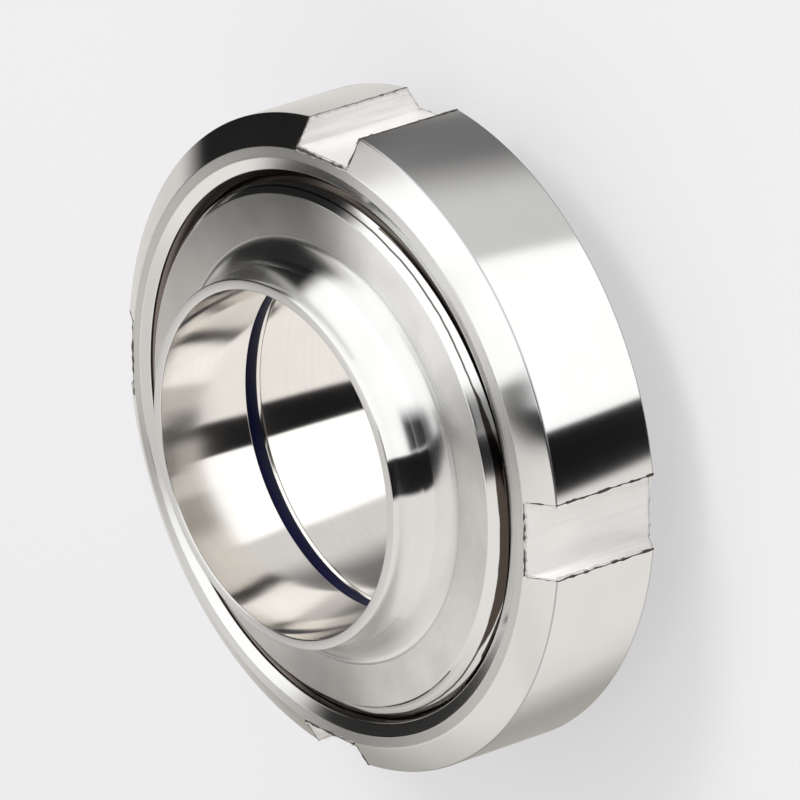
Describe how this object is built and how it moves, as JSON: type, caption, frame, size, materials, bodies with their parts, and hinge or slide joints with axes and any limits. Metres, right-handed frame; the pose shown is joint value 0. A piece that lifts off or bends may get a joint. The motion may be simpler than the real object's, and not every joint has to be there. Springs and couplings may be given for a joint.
{
  "type": "weld union",
  "caption": "Hygienic stainless pipe union: threaded male weld end with a bored neck, coned liner and rubber seal ring, drawn together by a bevelled ring nut with spanner slots.",
  "frame": {"origin": "on the union's axis at the liner's weld end, the plane that the union stands on", "axes": "+Z along the bore axis from the liner's weld end to the male part's weld end; +X and +Y through two neighbouring spanner slots"},
  "size_m": [0.094, 0.094, 0.0383],
  "materials": {
    "nut_steel": "mirror-polished bevel and outside, milled spanner slots with burred edges",
    "male_steel": "fine-turned satin face, bright turned neck and bore",
    "liner_steel": "bright turned bore, satin outside",
    "seal_rubber": "smooth navy-black rubber with a soft sheen"
  },
  "bodies": {
    "liner": {"liner": "liner_steel"},
    "nut": {"slotted_nut": "nut_steel"},
    "male": {"male_part": "male_steel", "seal_ring": "seal_rubber"}
  },
  "joints": [
    {"name": "nut_turn", "type": "hinge", "parent": "liner", "child": "nut", "pos_m": [0, 0, 0.0065], "axis": [0, 0, -1], "range_deg": [0, 1080]},
    {"name": "male_lift", "type": "slide", "parent": "liner", "child": "male", "axis": [0, 0, 1], "range_m": [0, 0.01271]}
  ],
  "couplings": [
    {"joint": "male_lift", "follows": "nut_turn", "m_per_rad": 0.00067376}
  ]
}
